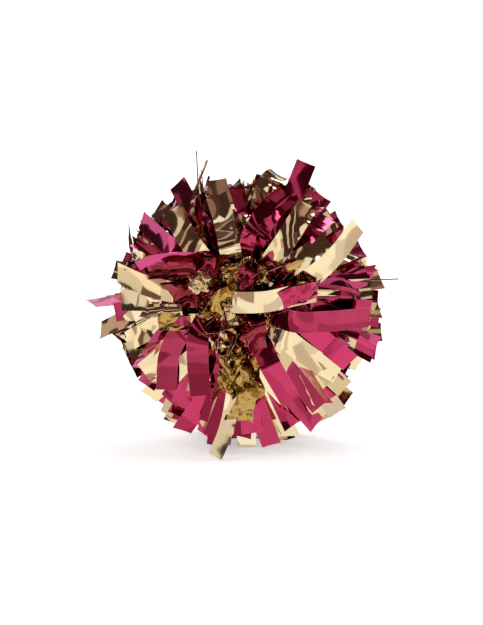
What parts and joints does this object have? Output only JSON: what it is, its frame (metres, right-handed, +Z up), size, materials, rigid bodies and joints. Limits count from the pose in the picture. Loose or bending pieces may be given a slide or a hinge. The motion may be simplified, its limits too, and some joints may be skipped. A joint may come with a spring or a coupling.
{
  "type": "cheer pom pom",
  "caption": "Ball-shaped hand-held pom pom: two bunches of gold and pink metallised film streamers bound to the ends of a hidden baton grip.",
  "frame": {"origin": "on the floor under the middle of the pom, where its lowest streamers rest", "axes": "+Z up; the baton lies along Y, with the front bunch towards -Y and the rear bunch towards +Y; +X is to the right as seen from the front"},
  "size_m": [0.2892, 0.2412, 0.2792],
  "materials": {
    "gold_film": "polished",
    "pink_film": "polished",
    "handle_plastic": "satin",
    "tie_nylon": "satin",
    "binding_tape": "gloss"
  },
  "bodies": {
    "baton": {"baton_tube": "handle_plastic", "front_end_spool": "handle_plastic", "front_gold_header": "gold_film", "front_pink_header": "pink_film", "front_cable_tie": "tie_nylon", "front_binding_tape": "binding_tape", "rear_end_spool": "handle_plastic", "rear_gold_header": "gold_film", "rear_pink_header": "pink_film", "rear_cable_tie": "tie_nylon", "rear_binding_tape": "binding_tape"},
    "front_tuft_1": {"front_streamers_1_inner": "gold_film", "front_streamers_1_outer": "pink_film"},
    "front_tuft_2": {"front_streamers_2_inner": "pink_film", "front_streamers_2_outer": "gold_film"},
    "front_tuft_3": {"front_streamers_3_inner": "gold_film", "front_streamers_3_outer": "pink_film"},
    "front_tuft_4": {"front_streamers_4_inner": "pink_film", "front_streamers_4_outer": "gold_film"},
    "front_tuft_5": {"front_streamers_5_inner": "gold_film", "front_streamers_5_outer": "pink_film"},
    "front_tuft_6": {"front_streamers_6_inner": "pink_film", "front_streamers_6_outer": "gold_film"},
    "front_tuft_7": {"front_streamers_7_inner": "gold_film", "front_streamers_7_outer": "pink_film"},
    "front_tuft_8": {"front_streamers_8_inner": "pink_film", "front_streamers_8_outer": "gold_film"},
    "rear_tuft_1": {"rear_streamers_1_inner": "gold_film", "rear_streamers_1_outer": "pink_film"},
    "rear_tuft_2": {"rear_streamers_2_inner": "pink_film", "rear_streamers_2_outer": "gold_film"},
    "rear_tuft_3": {"rear_streamers_3_inner": "gold_film", "rear_streamers_3_outer": "pink_film"},
    "rear_tuft_4": {"rear_streamers_4_inner": "pink_film", "rear_streamers_4_outer": "gold_film"},
    "rear_tuft_5": {"rear_streamers_5_inner": "gold_film", "rear_streamers_5_outer": "pink_film"},
    "rear_tuft_6": {"rear_streamers_6_inner": "pink_film", "rear_streamers_6_outer": "gold_film"},
    "rear_tuft_7": {"rear_streamers_7_inner": "gold_film", "rear_streamers_7_outer": "pink_film"},
    "rear_tuft_8": {"rear_streamers_8_inner": "pink_film", "rear_streamers_8_outer": "gold_film"}
  },
  "joints": [
    {"name": "front_tuft_1_sway", "type": "hinge", "parent": "baton", "child": "front_tuft_1", "pos_m": [0, -0.066, 0.175], "axis": [1, 0, 0], "range_deg": [-8, 10], "stiffness_Nm_per_rad": 0.3},
    {"name": "front_tuft_2_sway", "type": "hinge", "parent": "baton", "child": "front_tuft_2", "pos_m": [0.01414, -0.066, 0.16914], "axis": [0.7071, 0, -0.7071], "range_deg": [-8, 10], "stiffness_Nm_per_rad": 0.3},
    {"name": "front_tuft_3_sway", "type": "hinge", "parent": "baton", "child": "front_tuft_3", "pos_m": [0.02, -0.066, 0.155], "axis": [0, 0, -1], "range_deg": [-8, 10], "stiffness_Nm_per_rad": 0.3},
    {"name": "front_tuft_4_sway", "type": "hinge", "parent": "baton", "child": "front_tuft_4", "pos_m": [0.01414, -0.066, 0.14086], "axis": [-0.7071, 0, -0.7071], "range_deg": [-8, 10], "stiffness_Nm_per_rad": 0.3},
    {"name": "front_tuft_5_sway", "type": "hinge", "parent": "baton", "child": "front_tuft_5", "pos_m": [0, -0.066, 0.135], "axis": [-1, 0, 0], "range_deg": [-8, 10], "stiffness_Nm_per_rad": 0.3},
    {"name": "front_tuft_6_sway", "type": "hinge", "parent": "baton", "child": "front_tuft_6", "pos_m": [-0.01414, -0.066, 0.14086], "axis": [-0.7071, 0, 0.7071], "range_deg": [-8, 10], "stiffness_Nm_per_rad": 0.3},
    {"name": "front_tuft_7_sway", "type": "hinge", "parent": "baton", "child": "front_tuft_7", "pos_m": [-0.02, -0.066, 0.155], "axis": [0, 0, 1], "range_deg": [-8, 10], "stiffness_Nm_per_rad": 0.3},
    {"name": "front_tuft_8_sway", "type": "hinge", "parent": "baton", "child": "front_tuft_8", "pos_m": [-0.01414, -0.066, 0.16914], "axis": [0.7071, 0, 0.7071], "range_deg": [-8, 10], "stiffness_Nm_per_rad": 0.3},
    {"name": "rear_tuft_1_sway", "type": "hinge", "parent": "baton", "child": "rear_tuft_1", "pos_m": [0, 0.066, 0.175], "axis": [-1, 0, 0], "range_deg": [-8, 10], "stiffness_Nm_per_rad": 0.3},
    {"name": "rear_tuft_2_sway", "type": "hinge", "parent": "baton", "child": "rear_tuft_2", "pos_m": [0.01414, 0.066, 0.16914], "axis": [-0.7071, 0, 0.7071], "range_deg": [-8, 10], "stiffness_Nm_per_rad": 0.3},
    {"name": "rear_tuft_3_sway", "type": "hinge", "parent": "baton", "child": "rear_tuft_3", "pos_m": [0.02, 0.066, 0.155], "axis": [0, 0, 1], "range_deg": [-8, 10], "stiffness_Nm_per_rad": 0.3},
    {"name": "rear_tuft_4_sway", "type": "hinge", "parent": "baton", "child": "rear_tuft_4", "pos_m": [0.01414, 0.066, 0.14086], "axis": [0.7071, 0, 0.7071], "range_deg": [-8, 10], "stiffness_Nm_per_rad": 0.3},
    {"name": "rear_tuft_5_sway", "type": "hinge", "parent": "baton", "child": "rear_tuft_5", "pos_m": [0, 0.066, 0.135], "axis": [1, 0, 0], "range_deg": [-8, 10], "stiffness_Nm_per_rad": 0.3},
    {"name": "rear_tuft_6_sway", "type": "hinge", "parent": "baton", "child": "rear_tuft_6", "pos_m": [-0.01414, 0.066, 0.14086], "axis": [0.7071, 0, -0.7071], "range_deg": [-8, 10], "stiffness_Nm_per_rad": 0.3},
    {"name": "rear_tuft_7_sway", "type": "hinge", "parent": "baton", "child": "rear_tuft_7", "pos_m": [-0.02, 0.066, 0.155], "axis": [0, 0, -1], "range_deg": [-8, 10], "stiffness_Nm_per_rad": 0.3},
    {"name": "rear_tuft_8_sway", "type": "hinge", "parent": "baton", "child": "rear_tuft_8", "pos_m": [-0.01414, 0.066, 0.16914], "axis": [-0.7071, 0, -0.7071], "range_deg": [-8, 10], "stiffness_Nm_per_rad": 0.3}
  ]
}
